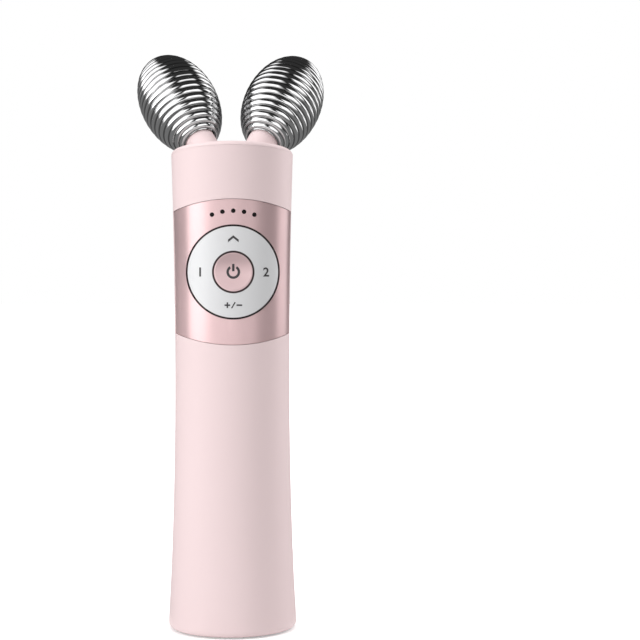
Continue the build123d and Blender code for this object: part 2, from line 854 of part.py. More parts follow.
def make_transformer_winding():
    """Winding round the core's middle limb."""
    width = transformer_width - 2 * transformer_limb - 2 * winding_gap
    height = transformer_height - 2 * transformer_limb - 2 * winding_gap
    over = transformer_limb / 2
    depth0 = board_back_depth - transformer_depth - over
    depth1 = board_back_depth
    coil = front_block(width, height, depth0, depth1)
    limb = transformer_limb + 2 * winding_gap
    room = front_block(limb, height + 2, depth0 + over - winding_gap, depth1 + 1)
    return single(coil - room)


# ---------------------------------------------------------------- chassis and battery

def make_inner_chassis():
    """Frame that carries the main board on a plate and the battery in an open tray."""
    back = chassis_depth - chassis_thickness
    plate_low = tray_high
    plate = front_block(
        chassis_width, chassis_top - plate_low, back, chassis_depth, 0, (chassis_top + plate_low) / 2
    )
    window = front_block(chassis_window_width, chassis_window_height, 0, board_depth)
    chassis = plate - window
    tray = upright(tray_outer_radius, tray_low - tray_end_wall, tray_high + tray_end_wall, 0, battery_y)
    tray = tray - upright(tray_radius, tray_low, tray_high, 0, battery_y)
    tray = tray - block(-far, far, -far, -tray_opening_depth, tray_low, tray_high)
    chassis = chassis + tray
    for height in case_screw_heights:
        chassis = chassis - front_rod(post_radius + fit_gap, 0, far, z=height)
    for x, z in frame_screw_places() + corner_screw_places():
        chassis = chassis + front_rod(standoff_radius, chassis_depth, board_back_depth, x, z)
        pilot = small_screw_radius + screw_pilot_gap
        chassis = chassis - front_rod(pilot, back - 1, board_depth, x, z)
    return single(chassis)


def make_battery_cell():
    """Round rechargeable cell."""
    return single(upright(battery_radius, battery_bottom, battery_top, 0, battery_y))


def make_battery_tabs():
    """Welded strip on each end of the cell."""
    half = tab_width / 2
    front = battery_y - tab_reach
    top = block(-half, half, front, battery_y + half, battery_top, battery_top + tab_thickness)
    low = block(-half, half, front, battery_y + half, battery_bottom - tab_thickness, battery_bottom)
    return group([top, low])


def lead(points):
    """Insulated wire along straight runs joined by arcs."""
    path = FilletPolyline(*points, radius=lead_bend)
    section = Plane(origin=path @ 0, z_dir=path % 0) * Circle(lead_radius)
    return sweep(section, path)


def lead_end_y():
    """Y of a lead that lies on the main board's front face."""
    return -(board_depth + lead_radius + lead_gap)


def make_battery_leads():
    """Two wires from the battery's strips to the foot of the main board."""
    front = battery_y - tab_reach - lead_gap
    out = front - battery_lead_out
    leads = []
    for side, start_z in ((1, battery_top + tab_thickness / 2), (-1, battery_bottom - tab_thickness / 2)):
        x = side * battery_lead_x
        leads.append(lead([
            (side * tab_width / 3, front, start_z),
            (side * tab_width / 3, out, start_z),
            (x, out - battery_lead_slack, start_z + battery_lead_rise),
            (x, lead_end_y() - battery_lead_clearance, board_bottom - battery_lead_approach),
            (x, lead_end_y(), board_bottom + lead_landing),
        ]))
    return group(leads)


def make_charge_leads():
    """Two wires from the charging board to the foot of the main board."""
    start_z = charge_board_top + lead_radius + lead_gap
    end_z = board_bottom + lead_landing
    out_x = charge_lead_start_x + charge_lead_out / 2
    approach_x = (charge_lead_bow + charge_lead_x) / 2
    leads = []
    for side in (1, -1):
        leads.append(lead([
            (side * charge_lead_start_x, charge_board_front + charge_lead_start, start_z),
            (side * out_x, charge_board_front - charge_lead_out, start_z + 2 * lead_radius),
            (side * charge_lead_bow, -charge_lead_depth, start_z + charge_lead_rise),
            (side * charge_lead_bow, -charge_lead_depth, (start_z + end_z) / 2),
            (side * approach_x, lead_end_y(), end_z - charge_lead_approach),
            (side * charge_lead_x, lead_end_y(), end_z),
        ]))
    return group(leads)


# ---------------------------------------------------------------- charging board

def make_charge_board():
    """Small board that carries the charging socket."""
    half = charge_board_width / 2
    board = block(-half, half, charge_board_front, charge_board_back, charge_board_low, charge_board_top)
    for side in (1, -1):
        hole = small_screw_radius + fit_gap
        board = board - upright(hole, 0, far, side * charge_screw_x, charge_screw_y)
    return single(board)


def make_charge_socket():
    """Metal socket with a tongue, open to the back."""
    mouth = socket_mouth_y()
    inner = mouth - socket_length
    socket = socket_bar(0, inner, mouth) - socket_bar(-socket_wall, inner + socket_back_wall, mouth + 1)
    half = tongue_width / 2
    low = socket_middle - tongue_thickness / 2
    tongue = block(-half, half, inner + socket_back_wall / 2, mouth - tongue_setback, low,
                   low + tongue_thickness)
    return single(socket + tongue)


# ---------------------------------------------------------------- screws

def screw(radius, head_radius, head_height, length):
    """Pan-head screw along Z: the head sits on the XY plane and the shank points down."""
    return rod(radius, -length, 0.01) + rod(head_radius, 0, head_height)


def make_case_screws():
    """Screws from the back through the rear shell into the front shell's posts."""
    model = screw(screw_radius, screw_head_radius, screw_head_height, case_screw_length)
    return group([Pos(0, case_screw_seat, height) * Rot(-90, 0, 0) * model for height in case_screw_heights])


def make_screw_plugs():
    """Plugs over the case screws, flush with the rear shell."""
    plugs = []
    radius = screw_head_radius + screw_hole_gap - plug_gap
    for height in case_screw_heights:
        outer = body_form(0, height - 2 * radius, height + 2 * radius)
        seat = plug_thickness - wall_radius(height)
        plugs.append(front_rod(radius, -base_radius, seat, z=height) & outer)
    return group(plugs)


def make_base_screws():
    """Screws from below through the base cap into the shells' bosses."""
    model = Rot(180, 0, 0) * screw(screw_radius, screw_head_radius, screw_head_height, base_screw_length)
    return group([Pos(0, y, base_screw_seat) * model for y in (base_screw_offset, -base_screw_offset)])


def make_board_screws():
    """Screws through the keypad frame's feet and the main board's corners into the chassis."""
    screws = []
    for places, seat in ((frame_screw_places(), frame_front_depth), (corner_screw_places(), board_depth)):
        length = seat - small_screw_tip_depth
        model = Rot(90, 0, 0) * screw(small_screw_radius, small_head_radius, small_head_height, length)
        screws += [Pos(x, -seat, z) * model for x, z in places]
    return group(screws)


def make_charge_screws():
    """Screws through the charging board into the rear shell's shelves."""
    model = screw(small_screw_radius, small_head_radius, small_head_height, charge_screw_length)
    return group([Pos(side * charge_screw_x, charge_screw_y, charge_board_top) * model for side in (1, -1)])


# ---------------------------------------------------------------- rollers

def ellipse_point(angle, inset=0.0):
    """Point of a roller's half section: X is the radius and Z runs along the axle."""
    turn = radians(angle)
    along = (roller_half_length - inset) * cos(turn)
    return ((roller_radius - inset) * sin(turn), 0, along)


def ellipse_chain(inset, start, end, count):
    """Arcs along a roller's half section between two angles."""
    step = (end - start) / count
    edges = []
    for index in range(count):
        angle = start + index * step
        points = [ellipse_point(angle + share * step, inset) for share in (0, 0.5, 1)]
        edges.append(ThreePointArc(*points))
    return edges


def closed_turn(edges):
    """Solid of revolution under a chain of edges that starts on the axis."""
    end = edges[-1] @ 1
    foot = Vector(0, 0, end.Z)
    closing = [Line(foot, edges[0] @ 0)]
    if end.X > 0.001:
        closing.append(Line(end, foot))
    return revolve(make_face(edges + closing), Axis.Z)


def roller_form():
    """Ellipsoid with a smooth tip and rounded ribs, cut off at the mouth."""
    edges = ellipse_chain(0, 0, rib_start / 2, 1)
    edges.append(ThreePointArc(
        ellipse_point(rib_start / 2),
        ellipse_point(0.75 * rib_start),
        ellipse_point(rib_start, rib_depth),
    ))
    for index in range(rib_count):
        valley = rib_start + index * rib_pitch
        edges.append(ThreePointArc(
            ellipse_point(valley, rib_depth),
            ellipse_point(valley + rib_pitch / 2),
            ellipse_point(valley + rib_pitch, rib_depth),
        ))
    return closed_turn(edges)


def make_roller_half(side, outer):
    """Tip half or mouth half of a roller's ribbed shell; they meet in one of the valleys."""
    shell = roller_form() - closed_turn(ellipse_chain(roller_wall, 0, 180, 8))
    shell = shell - rod(mouth_radius, -far, hub_start)
    seam = ellipse_point(rib_start + split_rib * rib_pitch, rib_depth)[2]
    if outer:
        half = shell & rod(far, seam + split_gap / 2, far)
    else:
        half = shell & rod(far, -far, seam - split_gap / 2)
    return single(on_axle(side, half))


def make_roller_core(side):
    """Hub with two webs that carry the shell, bored for the bushes and the retaining clip."""
    slope = web_distance / (roller_half_length - roller_wall)
    web_radius = (roller_radius - roller_wall) * sqrt(1 - slope ** 2) - press_gap
    core = rod(hub_radius, hub_start, hub_end)
    core = core + rod(web_radius, web_distance - web_thickness, web_distance)
    core = core + rod(web_radius, -web_distance, web_thickness - web_distance)
    bush_room = bush_radius + press_gap
    core = core - rod(axle_radius + 2 * fit_gap, hub_start - 1, hub_end + 1)
    core = core - rod(bush_room, hub_start - 1, hub_start + bush_length)
    core = core - rod(bush_room, outer_bush_end - bush_length, outer_bush_end)
    core = core - rod(clip_room_radius, outer_bush_end, hub_end + 1)
    return single(on_axle(side, core))


def make_roller_bushes(side):
    """Two plain bearings that turn on the axle."""
    bushes = []
    for start in (hub_start, outer_bush_end - bush_length):
        bush = rod(bush_radius, start, start + bush_length)
        bush = bush - rod(axle_radius + running_gap, start - 1, start + bush_length + 1)
        bushes.append(on_axle(side, bush))
    return group(bushes)


def make_roller_axle(side):
    """Steel pin pressed into the neck, with a groove for the clip."""
    axle = rod(axle_radius, axle_inner_end, axle_outer_end)
    groove_start = clip_start - press_gap
    groove_end = clip_start + clip_thickness + press_gap
    groove = rod(2 * axle_radius, groove_start, groove_end)
    groove = groove - rod(clip_groove_radius, groove_start, groove_end)
    return single(on_axle(side, axle - groove))


def make_axle_clip(side):
    """Open retaining ring in the axle's groove."""
    end = clip_start + clip_thickness
    clip = rod(clip_radius, clip_start, end)
    clip = clip - rod(clip_groove_radius + press_gap, clip_start - 1, end + 1)
    clip = clip - block(-clip_slot / 2, clip_slot / 2, 0, far, clip_start - 1, end + 1)
    return single(on_axle(side, clip))


def make_thrust_washer(side):
    """Washer between the neck and the roller's hub."""
    start = neck_end + 2 * press_gap
    washer = rod(washer_radius, start, start + washer_thickness)
    washer = washer - rod(axle_radius + fit_gap, start - 1, start + washer_thickness + 1)
    return single(on_axle(side, washer))


def make_contact_leaf(side):
    """Brass strip from the main board to the inner end of one axle."""
    direction = roller_plane(side).z_dir
    x = side * roller_x + axle_inner_end * direction.X
    top = roller_z + axle_inner_end * direction.Z - axle_radius * sqrt(1 - direction.Z ** 2) - leaf_gap
    y0 = -board_back_depth
    x0 = x - leaf_width / 2
    x1 = x + leaf_width / 2
    foot = block(x0, x1, y0, y0 + leaf_thickness, board_top - leaf_foot, top)
    arm = block(x0, x1, y0, y0 + leaf_reach, top - leaf_thickness, top)
    return single(foot + arm)


# ---------------------------------------------------------------- nodes

parts = {
    "front_shell": make_front_shell(),
    "rear_shell": make_rear_shell(),
    "head_cap": make_head_cap(),
    "base_cap": make_base_cap(),
    "foot_pad": make_foot_pad(),
    "control_panel": make_control_panel(),
    "rocker_ring": make_rocker_ring(),
    "rocker_gimbal": make_rocker_gimbal(),
    "power_button": make_power_button(),
    "keypad_frame": make_keypad_frame(),
    "keypad_membrane": make_keypad_membrane(),
    "light_guide": make_light_guide(),
    "main_board": make_main_board(),
    "tact_switches": make_tact_switches(),
    "indicator_leds": make_indicator_leds(),
    "board_chips": make_board_chips(),
    "transformer_core": make_transformer_core(),
    "transformer_winding": make_transformer_winding(),
    "inner_chassis": make_inner_chassis(),
    "battery_cell": make_battery_cell(),
    "battery_tabs": make_battery_tabs(),
    "battery_leads": make_battery_leads(),
    "charge_board": make_charge_board(),
    "charge_socket": make_charge_socket(),
    "charge_leads": make_charge_leads(),
    "case_screws": make_case_screws(),
    "screw_plugs": make_screw_plugs(),
    "base_screws": make_base_screws(),
    "board_screws": make_board_screws(),
    "charge_screws": make_charge_screws(),
}
for side_name, side in (("left", -1), ("right", 1)):
    parts[f"roller_tip_{side_name}"] = make_roller_half(side, True)
    parts[f"roller_mouth_{side_name}"] = make_roller_half(side, False)
    parts[f"roller_core_{side_name}"] = make_roller_core(side)
    parts[f"roller_bushes_{side_name}"] = make_roller_bushes(side)
    parts[f"roller_axle_{side_name}"] = make_roller_axle(side)
    parts[f"axle_clip_{side_name}"] = make_axle_clip(side)
    parts[f"thrust_washer_{side_name}"] = make_thrust_washer(side)
    parts[f"contact_leaf_{side_name}"] = make_contact_leaf(side)

os.makedirs("parts", exist_ok=True)
for name, shape in parts.items():
    export_step(shape, f"parts/{name}.step")
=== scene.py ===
import json
from math import acos, atan, atan2, cos, pi, radians, sin, sqrt

import bmesh
import bpy
from mathutils import Matrix, Vector


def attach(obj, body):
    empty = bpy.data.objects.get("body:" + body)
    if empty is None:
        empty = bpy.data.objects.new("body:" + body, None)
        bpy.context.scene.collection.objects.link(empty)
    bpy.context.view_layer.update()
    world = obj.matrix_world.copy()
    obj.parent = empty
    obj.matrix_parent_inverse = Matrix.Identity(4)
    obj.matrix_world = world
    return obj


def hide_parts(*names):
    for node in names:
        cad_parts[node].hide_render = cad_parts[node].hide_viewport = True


# Facial toning device: the finish of its housing, control face and rollers.
# Metres. +Z up, +X to the right of the control face, +Y to the back.

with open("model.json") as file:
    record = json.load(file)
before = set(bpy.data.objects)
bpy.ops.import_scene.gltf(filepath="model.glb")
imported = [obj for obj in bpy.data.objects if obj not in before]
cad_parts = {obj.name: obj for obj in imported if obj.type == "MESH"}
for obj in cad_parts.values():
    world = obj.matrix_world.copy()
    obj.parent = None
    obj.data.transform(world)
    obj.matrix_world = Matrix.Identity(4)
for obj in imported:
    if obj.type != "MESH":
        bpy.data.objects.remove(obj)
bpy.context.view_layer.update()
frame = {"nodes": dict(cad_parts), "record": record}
SLOT_OF_NODE = {part["node"]: part["material_slot"] for part in frame["record"]["subparts"]}

MM = 0.001

# ---------------------------------------------------------------- sizes

# the body's outline
WAIST_RADIUS = 19.35 * MM
WAIST_HEIGHT = 88.0 * MM
TOP_RADIUS = 20.6 * MM
HEAD_HEIGHT = 161.7 * MM

# control face
CONTROL_HEIGHT = 121.1 * MM
RING_SINK = 0.05 * MM
RING_RADIUS = 15.1 * MM
RING_BORE_RADIUS = 6.9 * MM
PANEL_WINDOW_RADIUS = 15.55 * MM
BUTTON_RADIUS = 6.45 * MM
DISH_RIM_RADIUS = 6.0 * MM
DISH_SIDE_RADIUS = 60.0 * MM     # hollow of the button's dish from side to side

# rollers: an ellipsoid turned about its axle, with rounded ribs
ROLLER_CENTRE = (18.05 * MM, 21.0 * MM, 179.8 * MM)      # of the right one
ROLLER_LEAN = radians(40.9)
ROLLER_SPLAY = radians(21.8)
ROLLER_HALF_LENGTH = 22.0 * MM
ROLLER_RADIUS = 13.4 * MM
ROLLER_WALL = 1.1 * MM
MOUTH_DISTANCE = 19.7 * MM
MOUTH_RADIUS = 5.6 * MM
TIP_BLUNTING = 0.5 * MM          # of the outer shell, under the full ellipsoid's tip
RIB_COUNT = 19
RIB_PITCH = radians(7.0)
RIB_DEPTH = 0.4 * MM
RIB_CROWN = 0.86                 # share of a rib's width that is crowned, the rest is hollow
RIB_STEPS = 18
TIP_STEPS = 12                   # of the smooth tip, half of them down to its first hollow
INNER_WALL_STEPS = 12
INNER_WALL_STOP = radians(14)    # of the inner wall, short of the mouth
ROLLER_SEGMENTS = 160

# printed marks
PRINT_LIFT = 0.02 * MM
PRINT_THICKNESS = 0.03 * MM
MARK_OFFSET = 10.9 * MM          # of the ring's marks from its centre
NUMBER_HEIGHT = 2.9 * MM
DIGIT_SHARE = 0.7                # height of a digit, as a share of the font's size
NUMBER_BOLDNESS = 0.02           # outward offset of the digits' outline, as a share of their size
ARROW_HALF_WIDTH = 1.75 * MM
ARROW_PITCH = 0.8                # rise of the arrow for its half width
ARROW_STROKE = 0.85 * MM
SIGN_WIDTH = 1.85 * MM
SIGN_STROKE = 0.5 * MM
SIGN_SPACING = 1.97 * MM
SLASH_LENGTH = 1.25 * SIGN_WIDTH
SLASH_STROKE = 0.8 * SIGN_STROKE
SLASH_TURN = radians(60)
POWER_RADIUS = 1.85 * MM
POWER_STROKE = 0.8 * MM
POWER_GAP = radians(33)          # half of the opening in the broken ring
POWER_BAR_LENGTH = 1.3 * POWER_RADIUS
POWER_BAR_RISE = 0.78 * POWER_RADIUS
POWER_STEPS = 48


# painted shade in the gaps of the control face and in the rollers' grooves
GAP_SHADE_BROWN = (0.13, 0.085, 0.088)
RIM_SOFTNESS = 0.2 * MM
GROOVE_EDGE = 0.58               # share of the way to a groove's middle where its painted shade starts
GROOVE_FLOOR = 0.9               # share of the way at which the painted shade is full


# ---------------------------------------------------------------- shader helpers

def add_node(tree, kind, **settings):
    """A shader node with its settings."""
    node = tree.nodes.new(kind)
    for name, value in settings.items():
        setattr(node, name, value)
    return node


def math_node(tree, operation, first, second=None, clamp=False):
    """The output of a Math node whose inputs are sockets or numbers."""
    node = add_node(tree, "ShaderNodeMath", operation=operation, use_clamp=clamp)
    for socket, value in zip(node.inputs, (first, second)):
        if value is None:
            continue
        if isinstance(value, (int, float)):
            socket.default_value = value
        else:
            tree.links.new(value, socket)
    return node.outputs[0]


def ramp(tree, value, low, high, out_low=0.0, out_high=1.0):
    """A smooth step of a value between two limits."""
    node = add_node(tree, "ShaderNodeMapRange", interpolation_type="SMOOTHSTEP")
    tree.links.new(value, node.inputs["Value"])
    node.inputs["From Min"].default_value = low
    node.inputs["From Max"].default_value = high
    node.inputs["To Min"].default_value = out_low
    node.inputs["To Max"].default_value = out_high
    return node.outputs["Result"]


def shaded(tree, color, gain):
    """A colour multiplied by a gain."""
    node = add_node(tree, "ShaderNodeVectorMath", operation="SCALE")
    tree.links.new(color, node.inputs[0])
    tree.links.new(gain, node.inputs["Scale"])
    return node.outputs["Vector"]


def new_material(name):
    """An empty node material with its Principled shader."""
    material = bpy.data.materials.new(name)
    material.use_nodes = True
    shader = material.node_tree.nodes["Principled BSDF"]
    return material, material.node_tree, shader


def build_grain_group():
    """Fine moulded grain and slow tone drift: out come a colour, a roughness and a height."""
    group = bpy.data.node_groups.new("surface_grain", "ShaderNodeTree")
    sockets = [
        ("Vector", "NodeSocketVector"),
        ("Color", "NodeSocketColor"),
        ("Tone Drift", "NodeSocketFloat"),
        ("Roughness", "NodeSocketFloat"),
        ("Roughness Drift", "NodeSocketFloat"),
        ("Grain Scale", "NodeSocketFloat"),
        ("Drift Scale", "NodeSocketFloat"),
    ]
    for name, kind in sockets:
        group.interface.new_socket(name=name, in_out="INPUT", socket_type=kind)
    made = (("Color", "NodeSocketColor"), ("Roughness", "NodeSocketFloat"), ("Height", "NodeSocketFloat"))
    for name, kind in made:
        group.interface.new_socket(name=name, in_out="OUTPUT", socket_type=kind)
    source = group.nodes.new("NodeGroupInput")
    result = group.nodes.new("NodeGroupOutput")
    links = group.links

    grain = add_node(group, "ShaderNodeTexNoise")
    grain.inputs["Detail"].default_value = 2.0
    links.new(source.outputs["Vector"], grain.inputs["Vector"])
    links.new(source.outputs["Grain Scale"], grain.inputs["Scale"])
    links.new(grain.outputs["Fac"], result.inputs["Height"])

    drift = add_node(group, "ShaderNodeTexNoise")
    drift.inputs["Detail"].default_value = 3.0
    links.new(source.outputs["Vector"], drift.inputs["Vector"])
    links.new(source.outputs["Drift Scale"], drift.inputs["Scale"])
    centred = math_node(group, "SUBTRACT", drift.outputs["Fac"], 0.5)

    tone = math_node(group, "MULTIPLY", centred, source.outputs["Tone Drift"])
    speck = math_node(group, "MULTIPLY", math_node(group, "SUBTRACT", grain.outputs["Fac"], 0.5),
                      source.outputs["Tone Drift"])
    gain = math_node(group, "ADD", math_node(group, "ADD", tone, speck), 1.0)
    links.new(shaded(group, source.outputs["Color"], gain), result.inputs["Color"])

    rough = math_node(group, "MULTIPLY", centred, source.outputs["Roughness Drift"])
    roughness = math_node(group, "ADD", rough, source.outputs["Roughness"], clamp=True)
    links.new(roughness, result.inputs["Roughness"])
    return group


GRAIN = build_grain_group()


def build_gap_shade_group():
    """Mask of painted shade for a gap: a step in the distance from the middle of the control face, seen from
    the front.
    """
    group = bpy.data.node_groups.new("painted_gap_shade", "ShaderNodeTree")
    sockets = (("Vector", "NodeSocketVector"), ("Clear", "NodeSocketFloat"), ("Full", "NodeSocketFloat"))
    for name, kind in sockets:
        group.interface.new_socket(name=name, in_out="INPUT", socket_type=kind)
    group.interface.new_socket(name="Mask", in_out="OUTPUT", socket_type="NodeSocketFloat")
    source = group.nodes.new("NodeGroupInput")
    result = group.nodes.new("NodeGroupOutput")
    parts = add_node(group, "ShaderNodeSeparateXYZ")
    group.links.new(source.outputs["Vector"], parts.inputs[0])
    across = math_node(group, "MULTIPLY", parts.outputs["X"], parts.outputs["X"])
    rise = math_node(group, "SUBTRACT", parts.outputs["Z"], CONTROL_HEIGHT)
    radius = math_node(group, "SQRT", math_node(group, "ADD", across, math_node(group, "MULTIPLY", rise, rise)))
    step = add_node(group, "ShaderNodeMapRange")
    group.links.new(radius, step.inputs["Value"])
    group.links.new(source.outputs["Clear"], step.inputs["From Min"])
    group.links.new(source.outputs["Full"], step.inputs["From Max"])
    group.links.new(step.outputs["Result"], result.inputs["Mask"])
    return group


GAP_SHADE = build_gap_shade_group()


def grained_material(name, color, roughness, metallic=0.0, grain_scale=4000.0, drift_scale=40.0,
                     tone_drift=0.04, rough_drift=0.08, bump=0.3, bump_distance=0.01 * MM, gap_shades=(),
                     groove_shade_tone=None, top_shade=None, mirrored=None, **constants):
    """Principled material on the shared grain, with its constants set on the shader's own sockets.

    Each pair of radii about the middle of the control face paints shade for a gap: none at the first radius and
    full dark brown at the second. The groove shade is painted shade in the middle of a piece's grooves. The
    painted top shade darkens the colour between two heights, down to the tone at the second. The mirrored
    colour is the one that other pieces reflect.
    """
    material, tree, shader = new_material(name)
    place = add_node(tree, "ShaderNodeTexCoord")
    grain = add_node(tree, "ShaderNodeGroup", node_tree=GRAIN)
    grain.inputs["Color"].default_value = (*color, 1.0)
    grain.inputs["Tone Drift"].default_value = tone_drift
    grain.inputs["Roughness"].default_value = roughness
    grain.inputs["Roughness Drift"].default_value = rough_drift
    grain.inputs["Grain Scale"].default_value = grain_scale
    grain.inputs["Drift Scale"].default_value = drift_scale
    tree.links.new(place.outputs["Object"], grain.inputs["Vector"])
    finish = grain.outputs["Color"]
    # painted shade: dark brown on the edges by the gaps, where the gaps are in shade
    for clear, full in gap_shades:
        rim = add_node(tree, "ShaderNodeGroup", node_tree=GAP_SHADE)
        rim.inputs["Clear"].default_value = clear
        rim.inputs["Full"].default_value = full
        tree.links.new(place.outputs["Object"], rim.inputs["Vector"])
        painted_shade = add_node(tree, "ShaderNodeMix", data_type="RGBA")
        tree.links.new(rim.outputs["Mask"], painted_shade.inputs["Factor"])
        tree.links.new(finish, painted_shade.inputs["A"])
        painted_shade.inputs["B"].default_value = (*GAP_SHADE_BROWN, 1.0)
        finish = painted_shade.outputs["Result"]
    # painted shade: darker in the middle of the grooves, where they are in shade and mirror dark
    if groove_shade_tone is not None:
        groove = add_node(tree, "ShaderNodeAttribute", attribute_name="groove")
        gain = ramp(tree, groove.outputs["Fac"], GROOVE_EDGE, GROOVE_FLOOR, 1.0, groove_shade_tone)
        finish = shaded(tree, finish, gain)
    # painted shade: the colour darkens upwards between two heights
    if top_shade is not None:
        low, high, tone = top_shade
        parts = add_node(tree, "ShaderNodeSeparateXYZ")
        tree.links.new(place.outputs["Object"], parts.inputs[0])
        finish = shaded(tree, finish, ramp(tree, parts.outputs["Z"], low, high, 1.0, tone))
    if mirrored is not None:
        path = add_node(tree, "ShaderNodeLightPath")
        calm = add_node(tree, "ShaderNodeMix", data_type="RGBA")
        tree.links.new(path.outputs["Is Glossy Ray"], calm.inputs["Factor"])
        tree.links.new(finish, calm.inputs["A"])
        calm.inputs["B"].default_value = (*mirrored, 1.0)
        finish = calm.outputs["Result"]
    tree.links.new(finish, shader.inputs["Base Color"])
    tree.links.new(grain.outputs["Roughness"], shader.inputs["Roughness"])
    if bump > 0:
        relief = add_node(tree, "ShaderNodeBump")
        relief.inputs["Strength"].default_value = bump
        relief.inputs["Distance"].default_value = bump_distance
        tree.links.new(grain.outputs["Height"], relief.inputs["Height"])
        tree.links.new(relief.outputs["Normal"], shader.inputs["Normal"])
    shader.inputs["Metallic"].default_value = metallic
    for socket, value in constants.items():
        shader.inputs[socket.replace("_", " ")].default_value = value
    return material


# ---------------------------------------------------------------- materials

# painted shade: the panel darker towards its top
PANEL_TOP_SHADE = (CONTROL_HEIGHT - 15 * MM, CONTROL_HEIGHT + 12 * MM, 0.86)
# painted shade: the button's dish darker in its upper part
BUTTON_DISH_SHADE = (CONTROL_HEIGHT + 1.2 * MM, CONTROL_HEIGHT + 4.4 * MM, 0.86)


def build_materials():
    """One material per finish, by the record's slot."""
    return {
        "pink_shell": grained_material(
            "pink_shell", (0.857, 0.695, 0.7), 0.46, tone_drift=0.02, bump=0.15, mirrored=(0.5, 0.48, 0.48)),
        # painted shade on the panel: dark at its window's edge and darker towards its top
        "rose_panel": grained_material(
            "rose_panel", (0.98, 0.70, 0.71), 0.30, metallic=0.62, grain_scale=9000.0, tone_drift=0.03,
            rough_drift=0.03, bump=0.04, top_shade=PANEL_TOP_SHADE,
            gap_shades=[(PANEL_WINDOW_RADIUS + RIM_SOFTNESS, PANEL_WINDOW_RADIUS)]),
        # painted shade on the button: dark at its edge and darker in the upper part of its dish
        "rose_button": grained_material(
            "rose_button", (0.87, 0.64, 0.65), 0.4, metallic=0.35, grain_scale=9000.0, tone_drift=0.03,
            bump=0.04, top_shade=BUTTON_DISH_SHADE, gap_shades=[(BUTTON_RADIUS - RIM_SOFTNESS, BUTTON_RADIUS)]),
        # painted shade on the ring: dark at both of its edges
        "silver_ring": grained_material(
            "silver_ring", (0.795, 0.80, 0.81), 0.45, metallic=0.22, grain_scale=9000.0,
            tone_drift=0.02, bump=0.05,
            gap_shades=[(RING_RADIUS - RIM_SOFTNESS, RING_RADIUS),
                  (RING_BORE_RADIUS + RIM_SOFTNESS, RING_BORE_RADIUS)]),
        # painted shade: the chrome darker in the middle of its grooves
        "chrome": grained_material(
            "chrome", (0.9, 0.9, 0.905), 0.08, metallic=1.0, grain_scale=600.0, tone_drift=0.02,
            rough_drift=0.04, bump=0.0, groove_shade_tone=0.34),
        "smoked_lens": grained_material(
            "smoked_lens", (0.006, 0.005, 0.005), 0.25, bump=0.0, Specular_IOR_Level=0.15),
        "foot_rubber": grained_material("foot_rubber", (0.62, 0.45, 0.46), 0.75, bump=0.4),
        "grey_plastic": grained_material("grey_plastic", (0.045, 0.026, 0.027), 0.6),
        "white_plastic": grained_material("white_plastic", (0.72, 0.72, 0.70), 0.5),
        "silicone": grained_material("silicone", (0.3, 0.3, 0.31), 0.6),
        "circuit_board": grained_material("circuit_board", (0.02, 0.022, 0.021), 0.35),
        "chip_black": grained_material("chip_black", (0.02, 0.02, 0.022), 0.5),
        "ferrite": grained_material("ferrite", (0.04, 0.04, 0.042), 0.6),
        "copper": grained_material("copper", (0.55, 0.2, 0.08), 0.3, metallic=0.9),
        "battery_wrap": grained_material("battery_wrap", (0.03, 0.09, 0.3), 0.3),
        "nickel": grained_material("nickel", (0.6, 0.58, 0.55), 0.3, metallic=1.0),
        "lead_sleeve": grained_material("lead_sleeve", (0.3, 0.012, 0.01), 0.5),
        "steel": grained_material("steel", (0.56, 0.56, 0.57), 0.28, metallic=1.0),
        "brass": grained_material("brass", (0.62, 0.4, 0.14), 0.3, metallic=1.0),
        "black_steel": grained_material("black_steel", (0.03, 0.028, 0.028), 0.4, metallic=0.6),
        "print": grained_material("print", (0.055, 0.052, 0.055), 0.5, bump=0.0),
    }


MATERIALS = build_materials()


def finish_nodes():
    """Gives every CAD node the material of its slot."""
    for name, node in frame["nodes"].items():
        finish = "black_steel" if name == "board_screws" else SLOT_OF_NODE[name]
        node.data.materials.clear()
        node.data.materials.append(MATERIALS[finish])


# ---------------------------------------------------------------- mesh helpers

def new_piece(name, bm, body, slot, material=None, sharp_angle=radians(35)):
    """Turns a bmesh into a smooth-shaded piece that rides on a body."""
    mesh = bpy.data.meshes.new(name)
    bm.to_mesh(mesh)
    bm.free()
    mesh.shade_smooth()
    mesh.set_sharp_from_angle(angle=sharp_angle)
    mesh.materials.append(MATERIALS[material or slot])
    piece = bpy.data.objects.new(name, mesh)
    bpy.context.scene.collection.objects.link(piece)
    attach(piece, body)
    return piece


def spin_profile(points, segments):
    """bmesh of a profile of (radius, height) turned about Z."""
    bm = bmesh.new()
    verts = [bm.verts.new((radius, 0, height)) for radius, height in points]
    edges = [bm.edges.new(pair) for pair in zip(verts, verts[1:])]
    bmesh.ops.spin(bm, geom=verts + edges, cent=(0, 0, 0), axis=(0, 0, 1), dvec=(0, 0, 0), angle=2 * pi,
                   steps=segments, use_merge=True)
    bmesh.ops.remove_doubles(bm, verts=bm.verts, dist=0.002 * MM)
    bmesh.ops.recalc_face_normals(bm, faces=bm.faces)
    return bm


# ---------------------------------------------------------------- rollers

def roller_matrix(side):
    """Places Z along one roller's axle, outwards; side is 1 on the right, -1 on the left."""
    upward = cos(ROLLER_SPLAY)
    axle = Vector((side * sin(ROLLER_SPLAY), upward * sin(ROLLER_LEAN), upward * cos(ROLLER_LEAN)))
    x, y, z = ROLLER_CENTRE
    return Matrix.Translation((side * x, y, z)) @ axle.to_track_quat("Z", "Y").to_matrix().to_4x4()


def ellipse_point(angle, inset=0.0, blunting=0.0):
    """(radius, distance along the axle) on a roller's outline; the blunting shortens its tip half."""
    half_length = ROLLER_HALF_LENGTH - inset
    if cos(angle) > 0:
        half_length -= blunting
    return (ROLLER_RADIUS - inset) * sin(angle), half_length * cos(angle)


def rib_inset(share):
    """Depth under the ribs' tops, at a share of a rib's width: a round crown between round hollows."""
    out = abs(2 * share - 1)
    if out < RIB_CROWN:
        return RIB_DEPTH * out ** 2 / RIB_CROWN
    return RIB_DEPTH * (1 - (1 - out) ** 2 / (1 - RIB_CROWN))


